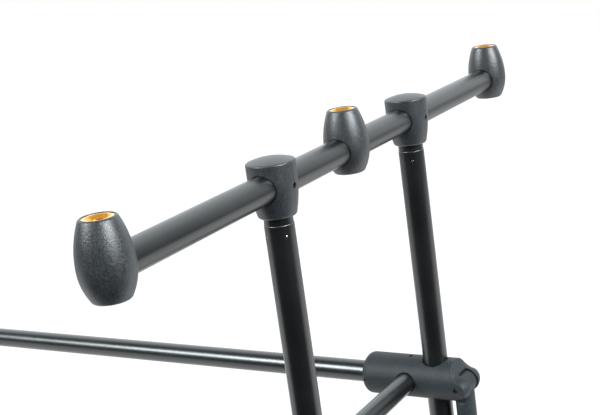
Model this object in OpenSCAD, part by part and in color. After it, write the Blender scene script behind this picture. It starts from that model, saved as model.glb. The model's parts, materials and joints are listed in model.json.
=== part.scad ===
// Goal-post rod pod. Two buzz bars stand on sliding uprights over a pair of telescopic rails,
// and four legs fold out of forked hubs and extend through twist collars.
// Millimetres. +X points to the front end, +Y to the left side and +Z up.
// The origin lies on the ground under the middle of the pod.

/* [Layout] */
// Distance between the front and the rear uprights
end_span = 700; // [660:5:800]
// Distance between the left and the right uprights
side_span = 160; // [120:2:240]
// Height of the hub and rail axes above the ground
hub_height = 302.5; // [280:0.5:380]
// Height of the buzz bar's axis above the hub axis
bar_rise = 174.4; // [120:0.2:260]
// Distance between the outer heads of a buzz bar
head_span = 427; // [320:1:600]

/* [Buzz bar] */
// Outer diameter of the buzz bar
bar_d = 15.5; // [13:0.5:16]
// Wall of the buzz bar
bar_wall = 1.2; // [0.8:0.1:2]
// Length of bar past the axis of an outer head
bar_overrun = 5; // [2:0.5:7]

/* [Heads] */
// Widest diameter of a head
head_d = 26; // [24:0.2:34]
// Diameter of a head's top face
head_top_d = 16.8; // [16:0.2:22]
// Diameter of a head's bottom face
head_bottom_d = 17; // [12:0.2:22]
// Height of the top face above the bar axis
head_rise = 22.8; // [22:0.2:34]
// Depth of the bottom face below the bar axis
head_drop = 13.8; // [10:0.2:20]
// Height of the widest ring above the bar axis
head_belly = 1.5; // [0:0.5:6]

/* [Brass inserts] */
// Outer diameter of a brass insert
insert_d = 14.4; // [12:0.2:15.4]
// Length of a brass insert
insert_length = 13; // [8:0.5:14]
// Depth of an insert below the top face of its head
insert_recess = 0.3; // [0.1:0.1:1]
// Bore of an insert: the minor diameter of its thread
thread_bore_d = 8.3; // [6:0.1:10]
// Countersink at the mouth of an insert
insert_chamfer = 1.2; // [0.4:0.1:2]

/* [Tees] */
// Diameter of a tee
tee_d = 26; // [24:0.5:36]
// Diameter of a tee's lower face
tee_bottom_d = 20; // [17:0.5:23]
// Height of a tee's rim above the bar axis
tee_rise = 12.6; // [11:0.1:18]
// Height of the dome over that rim
tee_dome = 2.4; // [0.5:0.1:4]
// Height above the bar axis from which a tee draws in
tee_shoulder = 6; // [-4:0.5:10]
// Depth of a tee's lower face below the bar axis
tee_drop = 16.4; // [12:0.1:24]
// Diameter of the neck between a tee and its upright
neck_d = 15.4; // [14:0.1:16]
// Height of that neck
neck_h = 3.7; // [2:0.1:8]
// Length of the tee's spigot inside the upright
tee_spigot = 22; // [14:1:40]

/* [Uprights] */
// Outer diameter of an upright
upright_d = 16; // [15:0.2:17]
// Wall of an upright
upright_wall = 1.2; // [0.8:0.1:2]
// Length of upright below the hub axis
upright_tail = 90; // [50:5:120]
// Thickness of the cap under an upright
cap_h = 3; // [2:0.5:6]
// Length of the cap's plug inside the upright
cap_plug = 14; // [8:1:24]
// Diameter of the rivets that hold a tee in its upright
rivet_d = 1.8; // [1.2:0.1:3]
// Length of a rivet
rivet_length = 4; // [2.5:0.5:5]
// Depth of a rivet's head below the surface of the upright
rivet_recess = 0.25; // [0.1:0.05:0.5]
// Distance of the rivets below the rim of the upright
rivet_drop = 6; // [4:0.5:10]
// Turn of the rivets about a left upright, in degrees
rivet_turn_left = -63; // [-90:1:90]
// Turn of the rivets about a right upright, in degrees
rivet_turn_right = -34; // [-90:1:90]

/* [Hubs] */
// Diameter of a hub
hub_d = 28; // [27:0.5:34]
// Length of hub from the upright to the rail's end
hub_back = 50.5; // [48:0.5:70]
// Rounding of the hub's rail end
hub_round = 5; // [3:0.5:8]
// Depth of the rail's socket in a hub
rail_socket = 22; // [16:1:23]
// Distance of the cross bar behind the upright
cross_setback = 17.5; // [16.5:0.1:19]
// Outer diameter of a cross bar
cross_d = 13; // [10:0.5:14]
// Wall of a cross bar
cross_wall = 1.2; // [0.8:0.1:2]
// Length of cross bar past the axis of a hub
cross_overrun = 5; // [2:0.5:8]
// Distance of the leg's pivot in front of the upright
pivot_out = 18.3; // [17.5:0.1:22]
// Depth of the leg's pivot below the hub axis
pivot_drop = 2.3; // [1:0.1:3.5]
// Radius of the fork's ears about the pivot
ear_r = 7.8; // [7.4:0.1:9]
// How far the fork's outer edges are rounded off at the hub's widest side
fork_round = 2.4; // [1:0.1:3]
// Depth from that side over which the rounding runs
fork_round_depth = 8; // [5:0.5:9]
// Width of the slot between the ears
ear_slot = 12.4; // [10:0.2:14]
// Distance of the upper scoop's centre in front of the pivot
scoop_out = 4.4; // [3:0.1:8]
// Depth of the upper scoop's centre below the top of the hub
scoop_sink = 1.2; // [0:0.1:4]
// Height of the lower scoop's centre above the bottom of the hub
underscoop_sink = 0.3; // [0:0.1:0.5]
// Depth that the scoops bite into the ears
scoop_bite = 0.1; // [0.05:0.05:0.3]
// Diameter of a leg's pivot pin
pin_d = 3; // [2:0.1:4]
// Depth of a pivot pin's end below the hub's surface
pin_recess = 1.5; // [0.5:0.1:2]

/* [Grub screws] */
// Diameter of a grub screw
grub_d = 2.5; // [2:0.1:4]
// Depth of a grub screw below the surface it is sunk in
grub_recess = 1.2; // [0.5:0.1:2]
// Width of a grub screw's hexagon socket
grub_key = 1.3; // [0.9:0.1:1.6]
// Depth of that socket
grub_key_depth = 1.4; // [0.8:0.1:2]
// Distance of the rail's grub screw from the hub's rail end
rail_grub = 4; // [3.5:0.5:14]

/* [Rails] */
// Outer diameter of the inner rail
rail_d = 14.5; // [13:0.5:15]
// Wall of the inner rail
rail_wall = 1.2; // [0.8:0.1:2]
// Wall of the outer rail
outer_rail_wall = 1.2; // [0.8:0.1:2]
// Distance from the front uprights to the front of the rail collars
rail_joint = 415; // [300:5:440]
// Length of inner rail inside the outer rail
rail_overlap = 165; // [120:5:180]

/* [Legs] */
// Outer diameter of a leg's extension
extension_d = 10; // [8:0.5:11]
// Wall of a leg's extension
extension_wall = 1.2; // [0.8:0.1:2]
// Length of extension inside the leg tube
extension_overlap = 115; // [60:5:130]
// Wall of the leg tube
leg_wall = 1.2; // [0.8:0.1:1.6]
// Length of the leg tube
leg_tube_length = 170; // [150:2:190]
// Radius of the knuckle about the pivot
knuckle_r = 6.8; // [6:0.1:7]
// Height of the shoulder between the knuckle and the leg tube
shoulder_h = 11.3; // [4:0.1:14]
// Length of the knuckle's spigot inside the leg tube
knuckle_spigot = 20; // [14:1:22]

/* [Feet] */
// Diameter of a foot at the ground
foot_d = 18; // [15:0.5:26]
// Diameter of a foot at its top
foot_top_d = 14; // [13.5:0.5:18]
// Height of a foot
foot_h = 26; // [16:1:36]
// Thickness of a foot's floor under the extension
foot_floor = 6; // [3:0.5:10]
// Rounding of a foot's lower edge
foot_round = 3; // [1:0.5:5]

/* [Twist collars] */
// Wall of a twist collar over its tube
collar_wall = 3.2; // [2.4:0.1:5]
// Length of collar over the tube
collar_grip = 24; // [14:1:34]
// Length of collar past the end of the tube
collar_nose = 12; // [8:1:18]
// Slope of the nose, measured along the collar
collar_taper = 5; // [2:0.5:7]
// Number of grip flutes
flute_count = 12; // [8:1:18]
// Diameter of a flute's cutter
flute_d = 3; // [2:0.2:4]
// Depth of a flute
flute_depth = 0.8; // [0.4:0.1:1.2]

/* [Clearances] */
// Radial gap of a sliding tube in its guide
slide_gap = 0.3; // [0.25:0.05:0.4]
// Radial and end gap of a fixed tube in its socket
seat_gap = 0.25; // [0.1:0.05:0.3]
// Radial gap of a spigot, insert, screw or rivet in its hole
press_gap = 0.05; // [0.02:0.01:0.1]
// Radial gap of a pivot pin in its knuckle
pin_gap = 0.05; // [0.02:0.01:0.1]
// Gap round a knuckle over the whole swing of its leg
swing_gap = 0.6; // [0.4:0.1:0.8]

/* [Hidden] */
$fn = 96;
// Length that a cutter reaches past the face it opens
over = 1;
ENDS = ["front", "rear"];
SIDES = ["left", "right"];
// Pieces that each end, each corner and each side holds
END_PARTS = [
    "buzz_bar", "middle_head", "inserts", "tee_rivets", "bar_screws",
    "upright_caps", "cross_bar", "hub_screws", "pivot_pins"
];
CORNER_PARTS = [
    "outer_head", "tee", "upright", "hub", "leg_knuckle",
    "leg_tube", "leg_collar", "leg_extension", "foot"
];
SIDE_PARTS = ["inner_rail", "outer_rail", "rail_collar"];
NODES = concat(
    [for (e = ENDS) for (p = END_PARTS) str(e, "_", p)],
    [for (e = ENDS) for (s = SIDES) for (p = CORNER_PARTS) str(e, "_", s, "_", p)],
    [for (s = SIDES) for (p = SIDE_PARTS) str(s, "_", p)]
);
node = "all";
// Finishes
plastic = "#46494d";
anodised = "#26282a";
brass = "#c8973a";
steel = "#8f9296";
rubber = "#1d1e1f";
// Tubes
upright_bore = upright_d - 2 * upright_wall;
rail_bore = rail_d + 2 * slide_gap;
outer_rail_d = rail_bore + 2 * outer_rail_wall;
leg_bore = extension_d + 2 * slide_gap;
leg_d = leg_bore + 2 * leg_wall;
// Heights above the hub axis
rim_z = bar_rise - tee_drop - neck_h;
pivot_z = -pivot_drop;
ground_z = -hub_height;
// Heads and inserts, above the bar axis
insert_top = head_rise - insert_recess;
insert_foot = insert_top - insert_length;
insert_pocket_d = insert_d + 2 * press_gap;
// Hub outline about the pivot
hub_r = hub_d / 2;
scoop_at = [pivot_out + scoop_out, hub_r - scoop_sink];
scoop_reach = norm([scoop_out, scoop_at[1] - pivot_z]);
scoop_r = scoop_reach - ear_r + scoop_bite;
scoop_foot = (ear_r - fork_round) * scoop_out / scoop_reach;
underscoop_at = [pivot_out, underscoop_sink - hub_r];
underscoop_r = pivot_z - underscoop_at[1] - ear_r + scoop_bite;
slot_r = knuckle_r + swing_gap;
fork_straight = hub_r - fork_round_depth;
fork_arc_r = arc_r(fork_round, fork_round_depth);
// Legs, below the pivot
knuckle_w = ear_slot - 2 * slide_gap;
shoulder_top = hub_r - pivot_drop + swing_gap;
tube_top = shoulder_top + shoulder_h;
tube_end = tube_top + leg_tube_length;
extension_top = tube_end - extension_overlap;
extension_end = hub_height - pivot_drop - foot_floor;
// Rails, behind the front uprights
rail_start = hub_back - rail_socket + seat_gap;
outer_rail_front = rail_joint + collar_nose;

// Radius of an arc that leaves a vertical line and draws in by dr over dz
function arc_r(dr, dz) = (dr * dr + dz * dz) / (2 * dr);
function side_sign(s) = s == "left" ? 1 : -1;
function shown(name) = node == "all" || node == name;

// The axis of an end's uprights, at hub height, with +X pointing out of the pod
module at_end(e) {
    translate([0, 0, hub_height])
        mirror([e == "rear" ? 1 : 0, 0, 0])
            translate([end_span / 2, 0, 0])
                children();
}

// The axis of one upright, unturned
module at_post(e, s) {
    at_end(e)
        translate([0, side_sign(s) * side_span / 2, 0])
            children();
}

// The axis of one upright, with +Y pointing out of the pod
module at_corner(e, s) {
    at_end(e)
        mirror([0, s == "right" ? 1 : 0, 0])
            translate([0, side_span / 2, 0])
                children();
}

// The pivot of one leg, with +Y pointing out of the pod
module at_pivot(e, s) {
    at_corner(e, s)
        translate([pivot_out, 0, pivot_z])
            children();
}

// An outer head's place on the bar, with +Y pointing out of the pod
module at_outer_head(e, s) {
    at_end(e)
        mirror([0, s == "right" ? 1 : 0, 0])
            translate([0, head_span / 2, bar_rise])
                children();
}

// The front upright's axis on one side, at hub height
module at_rail(s) {
    translate([end_span / 2, side_sign(s) * side_span / 2, hub_height])
        children();
}

module along_x() {
    rotate([0, 90, 0]) children();
}

module along_y() {
    rotate([-90, 0, 0]) children();
}

// A tube along +Z from z = 0
module tube(d, wall, length) {
    difference() {
        cylinder(d = d, h = length);
        translate([0, 0, -over])
            cylinder(d = d - 2 * wall, h = length + 2 * over);
    }
}

// A grub screw along +Z that presses at z = 0 and ends at z = length
module grub_screw(length) {
    difference() {
        cylinder(d = grub_d, h = length);
        translate([0, 0, length - grub_key_depth])
            cylinder(d = grub_key, h = grub_key_depth + over, $fn = 6);
    }
}

module grub_hole(length) {
    cylinder(d = grub_d + 2 * press_gap, h = length);
}

// The rivets round one upright, or their holes
module rivets(s, d, length, end_r) {
    turn = s == "left" ? rivet_turn_left : rivet_turn_right;
    for (quarter = [0 : 3])
        rotate([0, 0, turn + 90 * quarter])
            translate([end_r - length, 0, rim_z - rivet_drop])
                along_x()
                    cylinder(d = d, h = length);
}

module rivet_holes(s) {
    end_r = upright_d / 2 + over;
    depth = rivet_length + rivet_recess + over;
    rivets(s, rivet_d + 2 * press_gap, depth, end_r);
}

// Half of a barrel's outline: an arc from the widest ring to an end face
module barrel_half(end_d, height) {
    arc = arc_r((head_d - end_d) / 2, height);
    intersection() {
        translate([head_d / 2 - arc, 0]) circle(arc);
        square([head_d / 2, height]);
    }
}

// A solid barrel with the pocket for its insert, about the bar axis
module barrel() {
    difference() {
        rotate_extrude()
            translate([0, head_belly]) {
                barrel_half(head_top_d, head_rise - head_belly);
                mirror([0, 1]) barrel_half(head_bottom_d, head_drop + head_belly);
            }
        translate([0, 0, insert_foot])
            cylinder(d = insert_pocket_d, h = insert_length + insert_recess + over);
    }
}

module buzz_bar() {
    length = head_span + 2 * bar_overrun;
    color(anodised)
        translate([0, -length / 2, bar_rise])
            along_y()
                tube(bar_d, bar_wall, length);
}

module middle_head() {
    color(plastic)
        translate([0, 0, bar_rise])
            difference() {
                barrel();
                along_y()
                    cylinder(d = bar_d + 2 * seat_gap, h = head_d + 2 * over, center = true);
            }
}

// The bar stops inside an outer head
module outer_head() {
    color(plastic)
        difference() {
            barrel();
            translate([0, -head_d, 0])
                along_y()
                    cylinder(d = bar_d + 2 * seat_gap, h = head_d + bar_overrun + seat_gap);
        }
}

module insert() {
    bore_r = thread_bore_d / 2;
    rotate_extrude()
        polygon([
            [bore_r, insert_foot],
            [insert_d / 2, insert_foot],
            [insert_d / 2, insert_top],
            [bore_r + insert_chamfer, insert_top],
            [bore_r, insert_top - insert_chamfer]
        ]);
}

module inserts() {
    color(brass)
        for (place = [-1 : 1])
            translate([0, place * head_span / 2, bar_rise])
                insert();
}

// A tee's outline beside its axis: drawn in below, straight above and domed on top
module tee_half() {
    r = tee_d / 2;
    side_r = arc_r(r - tee_bottom_d / 2, tee_shoulder + tee_drop);
    dome_r = arc_r(tee_dome, r);
    intersection() {
        translate([r - side_r, tee_shoulder]) circle(side_r);
        translate([0, -tee_drop]) square([r, tee_shoulder + tee_drop]);
    }
    translate([0, tee_shoulder])
        square([r, tee_rise - tee_shoulder]);
    intersection() {
        translate([0, tee_rise + tee_dome - dome_r]) circle(dome_r);
        translate([0, tee_rise]) square([r, tee_dome]);
    }
}

module tee(s) {
    spigot_d = upright_bore - 2 * press_gap;
    color(plastic)
        difference() {
            union() {
                translate([0, 0, bar_rise])
                    rotate_extrude() tee_half();
                translate([0, 0, rim_z])
                    cylinder(d = neck_d, h = neck_h + over);
                translate([0, 0, rim_z - tee_spigot])
                    cylinder(d = spigot_d, h = tee_spigot + over);
            }
            translate([0, 0, bar_rise])
                along_y()
                    cylinder(d = bar_d + 2 * seat_gap, h = tee_d + 2 * over, center = true);
            translate([0, 0, bar_rise])
                along_x()
                    grub_hole(tee_d / 2 + over);
            rivet_holes(s);
        }
}

module bar_screws() {
    length = tee_d / 2 - grub_recess - bar_d / 2 - press_gap;
    color(steel)
        for (side = [-1, 1])
            translate([bar_d / 2 + press_gap, side * side_span / 2, bar_rise])
                along_x()
                    grub_screw(length);
}

module upright(s) {
    color(anodised)
        difference() {
            translate([0, 0, -upright_tail])
                tube(upright_d, upright_wall, rim_z + upright_tail);
            rivet_holes(s);
        }
}

module tee_rivets() {
    color(steel)
        for (s = SIDES)
            translate([0, side_sign(s) * side_span / 2, 0])
                rivets(s, rivet_d, rivet_length, upright_d / 2 - rivet_recess);
}

module upright_caps() {
    color(plastic)
        for (side = [-1, 1])
            translate([0, side * side_span / 2, -upright_tail]) {
                translate([0, 0, -cap_h])
                    cylinder(d = upright_d, h = cap_h);
                cylinder(d = upright_bore - 2 * press_gap, h = cap_plug);
            }
}

// Half of an ear's outline beside the pivot: straight inside and rounded off towards its outer face
module ear_half() {
    square([ear_r, fork_straight]);
    intersection() {
        translate([ear_r - fork_arc_r, fork_straight]) circle(fork_arc_r);
        translate([0, fork_straight]) square([ear_r, fork_round_depth + over]);
    }
}

// Half of a scoop's outline: it widens outwards by as much as the ears draw in
module scoop_half(r) {
    width = r + fork_round + over;
    difference() {
        square([width, hub_r + over]);
        translate([r + fork_arc_r, fork_straight]) circle(fork_arc_r);
        translate([r, -over]) square([width - r + over, fork_straight + over]);
    }
}

module both_halves() {
    along_y()
        rotate_extrude() {
            children();
            mirror([0, 1]) children();
        }
}

// The hub's body and ears, before they are made round
module hub_block() {
    width = hub_d + 2 * over;
    translate([-hub_back - over, -width / 2, -width / 2])
        cube([hub_back + over + pivot_out, width, width]);
    translate([pivot_out, -width / 2, pivot_z])
        cube([scoop_foot, width, width / 2 - pivot_z]);
    translate([pivot_out, 0, pivot_z])
        both_halves() ear_half();
}

// The hollows over and under the ears
module hub_scoops() {
    translate([scoop_at[0], 0, scoop_at[1]])
        both_halves() scoop_half(scoop_r);
    translate([underscoop_at[0], 0, underscoop_at[1]])
        both_halves() scoop_half(underscoop_r);
}

// The hub's round body, rounded at the rail's end
module hub_round_body() {
    along_x()
        rotate_extrude() {
            translate([0, hub_round - hub_back])
                square([hub_r, hub_back - hub_round + pivot_out + ear_r + over]);
            translate([0, -hub_back])
                square([hub_r - hub_round, hub_round]);
            intersection() {
                translate([hub_r - hub_round, hub_round - hub_back]) circle(hub_round);
                translate([0, -hub_back]) square([hub_r, hub_round]);
            }
        }
}

// The room that the knuckle needs between the ears
module fork_slot() {
    depth = hub_d + 2 * over;
    reach = ear_r + over;
    translate([pivot_out, 0, pivot_z]) {
        along_y()
            cylinder(r = slot_r, h = ear_slot, center = true);
        translate([-swing_gap, -ear_slot / 2, -depth])
            cube([reach + swing_gap, ear_slot, 2 * depth]);
        translate([-slot_r, -ear_slot / 2, -depth])
            cube([slot_r + reach, ear_slot, depth]);
    }
}

module hub(socket_d) {
    color(plastic)
        difference() {
            intersection() {
                hub_block();
                hub_round_body();
            }
            hub_scoops();
            fork_slot();
            cylinder(d = upright_d + 2 * slide_gap, h = hub_d + 2 * over, center = true);
            translate([-hub_back - over, 0, 0])
                along_x()
                    cylinder(d = socket_d + 2 * seat_gap, h = rail_socket + over);
            translate([-cross_setback, -hub_r - over, 0])
                along_y()
                    cylinder(d = cross_d + 2 * seat_gap, h = hub_r + over + cross_overrun + seat_gap);
            translate([pivot_out, 0, pivot_z])
                along_y()
                    cylinder(d = pin_d + 2 * press_gap, h = hub_d + 2 * over, center = true);
            translate([-cross_setback, 0, 0])
                grub_hole(hub_r + over);
            translate([rail_grub - hub_back, 0, 0])
                rotate([90, 0, 0])
                    grub_hole(hub_r + over);
            along_y()
                grub_hole(hub_r + over);
        }
}

// The grub screws of one hub: over the cross bar, beside the rail and beside the upright
module hub_screw_set(socket_d) {
    outer_r = hub_r - grub_recess;
    cross_seat = cross_d / 2 + press_gap;
    rail_seat = socket_d / 2 + press_gap;
    upright_seat = upright_d / 2 + slide_gap;
    translate([-cross_setback, 0, cross_seat])
        grub_screw(outer_r - cross_seat);
    translate([rail_grub - hub_back, -rail_seat, 0])
        rotate([90, 0, 0])
            grub_screw(outer_r - rail_seat);
    translate([0, upright_seat, 0])
        along_y()
            grub_screw(outer_r - upright_seat);
}

module hub_screws(socket_d) {
    color(steel)
        for (flip = [0, 1])
            mirror([0, flip, 0])
                translate([0, side_span / 2, 0])
                    hub_screw_set(socket_d);
}

module cross_bar() {
    length = side_span + 2 * cross_overrun;
    color(anodised)
        translate([-cross_setback, -length / 2, 0])
            along_y()
                tube(cross_d, cross_wall, length);
}

module pivot_pins() {
    half = sqrt(hub_r * hub_r - pivot_z * pivot_z) - pin_recess;
    color(steel)
        for (side = [-1, 1])
            translate([pivot_out, side * side_span / 2, pivot_z])
                along_y()
                    cylinder(d = pin_d, h = 2 * half, center = true);
}

module leg_knuckle() {
    color(plastic)
        difference() {
            union() {
                along_y()
                    cylinder(r = knuckle_r, h = knuckle_w, center = true);
                translate([0, 0, -shoulder_top])
                    intersection() {
                        cylinder(d = leg_d, h = shoulder_top);
                        translate([-leg_d, -knuckle_w / 2, 0])
                            cube([2 * leg_d, knuckle_w, shoulder_top]);
                    }
                translate([0, 0, -tube_top])
                    cylinder(d = leg_d, h = shoulder_h);
                translate([0, 0, -tube_top - knuckle_spigot])
                    cylinder(d = leg_bore - 2 * press_gap, h = knuckle_spigot + over);
            }
            along_y()
                cylinder(d = pin_d + 2 * pin_gap, h = knuckle_w + 2 * over, center = true);
        }
}

module leg_tube() {
    color(anodised)
        translate([0, 0, -tube_end])
            tube(leg_d, leg_wall, leg_tube_length);
}

module leg_extension() {
    color(anodised)
        translate([0, 0, -extension_end])
            tube(extension_d, extension_wall, extension_end - extension_top);
}

// A foot's outline beside its axis, from the ground up
module foot_half() {
    r = foot_d / 2;
    polygon([
        [0, 0],
        [r - foot_round, 0],
        [r - foot_round, foot_round],
        [r, foot_round],
        [foot_top_d / 2, foot_h],
        [0, foot_h]
    ]);
    translate([r - foot_round, foot_round])
        intersection() {
            circle(foot_round);
            translate([-foot_round, -foot_round]) square([2 * foot_round, foot_round]);
        }
}

module foot() {
    color(rubber)
        translate([0, 0, ground_z - pivot_z])
            difference() {
                rotate_extrude() foot_half();
                translate([0, 0, foot_floor])
                    cylinder(d = extension_d + 2 * press_gap, h = foot_h);
            }
}

// A twist collar along +Z: the outer tube ends at z = 0 and the inner one leaves at the nose
module twist_collar(tube_d, inner_d) {
    r = tube_d / 2 + collar_wall;
    nose_r = inner_d / 2 + collar_wall;
    color(plastic)
        difference() {
            rotate_extrude()
                polygon([
                    [0, -collar_grip],
                    [r, -collar_grip],
                    [r, collar_nose - collar_taper],
                    [nose_r, collar_nose],
                    [0, collar_nose]
                ]);
            translate([0, 0, -collar_grip - over])
                cylinder(d = tube_d + 2 * slide_gap, h = collar_grip + over + slide_gap);
            cylinder(d = inner_d + 2 * slide_gap, h = collar_nose + over);
            for (i = [0 : flute_count - 1])
                rotate([0, 0, 360 * i / flute_count])
                    translate([r + flute_d / 2 - flute_depth, 0, collar_taper - collar_grip])
                        cylinder(d = flute_d, h = collar_grip + collar_nose);
        }
}

module leg_collar() {
    translate([0, 0, -tube_end])
        rotate([180, 0, 0])
            twist_collar(leg_d, extension_d);
}

module rail_collar() {
    translate([-outer_rail_front, 0, 0])
        along_x()
            twist_collar(outer_rail_d, rail_d);
}

module inner_rail() {
    rail_end = outer_rail_front + rail_overlap;
    color(anodised)
        translate([-rail_end, 0, 0])
            along_x()
                tube(rail_d, rail_wall, rail_end - rail_start);
}

module outer_rail() {
    rail_end = end_span - rail_start;
    color(anodised)
        translate([-rail_end, 0, 0])
            along_x()
                tube(outer_rail_d, outer_rail_wall, rail_end - outer_rail_front);
}

for (e = ENDS) {
    hub_socket_d = e == "front" ? rail_d : outer_rail_d;
    if (shown(str(e, "_buzz_bar"))) at_end(e) buzz_bar();
    if (shown(str(e, "_middle_head"))) at_end(e) middle_head();
    if (shown(str(e, "_inserts"))) at_end(e) inserts();
    if (shown(str(e, "_tee_rivets"))) at_end(e) tee_rivets();
    if (shown(str(e, "_bar_screws"))) at_end(e) bar_screws();
    if (shown(str(e, "_upright_caps"))) at_end(e) upright_caps();
    if (shown(str(e, "_cross_bar"))) at_end(e) cross_bar();
    if (shown(str(e, "_hub_screws"))) at_end(e) hub_screws(hub_socket_d);
    if (shown(str(e, "_pivot_pins"))) at_end(e) pivot_pins();
    for (s = SIDES) {
        if (shown(str(e, "_", s, "_outer_head"))) at_outer_head(e, s) outer_head();
        if (shown(str(e, "_", s, "_tee"))) at_post(e, s) tee(s);
        if (shown(str(e, "_", s, "_upright"))) at_post(e, s) upright(s);
        if (shown(str(e, "_", s, "_hub"))) at_corner(e, s) hub(hub_socket_d);
        if (shown(str(e, "_", s, "_leg_knuckle"))) at_pivot(e, s) leg_knuckle();
        if (shown(str(e, "_", s, "_leg_tube"))) at_pivot(e, s) leg_tube();
        if (shown(str(e, "_", s, "_leg_collar"))) at_pivot(e, s) leg_collar();
        if (shown(str(e, "_", s, "_leg_extension"))) at_pivot(e, s) leg_extension();
        if (shown(str(e, "_", s, "_foot"))) at_pivot(e, s) foot();
    }
}
for (s = SIDES) {
    if (shown(str(s, "_inner_rail"))) at_rail(s) inner_rail();
    if (shown(str(s, "_outer_rail"))) at_rail(s) outer_rail();
    if (shown(str(s, "_rail_collar"))) at_rail(s) rail_collar();
}
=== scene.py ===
"""Dresses a goal-post rod pod: finished meshes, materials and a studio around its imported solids."""

import json
import math

import bmesh
import bpy
from bpy.props import FloatProperty, FloatVectorProperty, IntProperty, PointerProperty
from mathutils import Matrix, Vector

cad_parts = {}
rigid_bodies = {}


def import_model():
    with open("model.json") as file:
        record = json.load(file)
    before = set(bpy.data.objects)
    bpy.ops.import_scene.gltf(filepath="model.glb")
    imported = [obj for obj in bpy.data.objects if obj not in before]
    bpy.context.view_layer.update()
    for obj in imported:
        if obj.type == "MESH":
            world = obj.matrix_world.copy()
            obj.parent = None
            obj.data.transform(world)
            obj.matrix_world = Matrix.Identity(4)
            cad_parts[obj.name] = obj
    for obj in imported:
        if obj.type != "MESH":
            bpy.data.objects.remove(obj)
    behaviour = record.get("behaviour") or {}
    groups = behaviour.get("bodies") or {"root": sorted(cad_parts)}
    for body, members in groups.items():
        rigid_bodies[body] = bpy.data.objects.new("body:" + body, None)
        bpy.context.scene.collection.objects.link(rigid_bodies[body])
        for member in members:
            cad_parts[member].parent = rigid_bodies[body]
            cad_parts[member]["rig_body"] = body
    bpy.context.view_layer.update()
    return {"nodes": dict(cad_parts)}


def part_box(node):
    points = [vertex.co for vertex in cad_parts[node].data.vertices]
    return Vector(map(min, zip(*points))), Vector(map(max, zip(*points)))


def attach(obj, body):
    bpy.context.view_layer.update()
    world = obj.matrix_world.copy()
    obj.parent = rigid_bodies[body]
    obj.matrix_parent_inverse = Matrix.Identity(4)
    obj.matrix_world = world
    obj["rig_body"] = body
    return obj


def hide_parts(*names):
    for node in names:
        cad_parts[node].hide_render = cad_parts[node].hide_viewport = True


bl_info = {
    "name": "Rod Pod",
    "version": (1, 0, 0),
    "blender": (4, 5, 0),
    "location": "View3D > Sidebar > Rod Pod",
    "description": "Makes the finished pieces of a goal-post rod pod around its solids",
    "category": "Object",
}

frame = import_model()
NODES = frame["nodes"]

ENDS = ("front", "rear")
SIDES = ("left", "right")
OUTWARD = {"front": 1.0, "rear": -1.0}
FULL_TURN = math.tau
SHARP = math.radians(32)  # edges steeper than this stay crisp
WELD = 1e-6  # points nearer than this are one
NEAR = 1e-5  # slack when a ring is looked up
SQUARE_ON = 0.999  # least cosine between a rivet's face and its way out
LATHE_SIDES = 96  # heads and tees
RING_SIDES = 72  # inserts, and bores for the bars
END_SIDES = 64  # feet and caps
RIVET_SIDES = 32
HOLE_SIDES = 24  # holes for rivets and grub screws
FINISHES = {}


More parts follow.
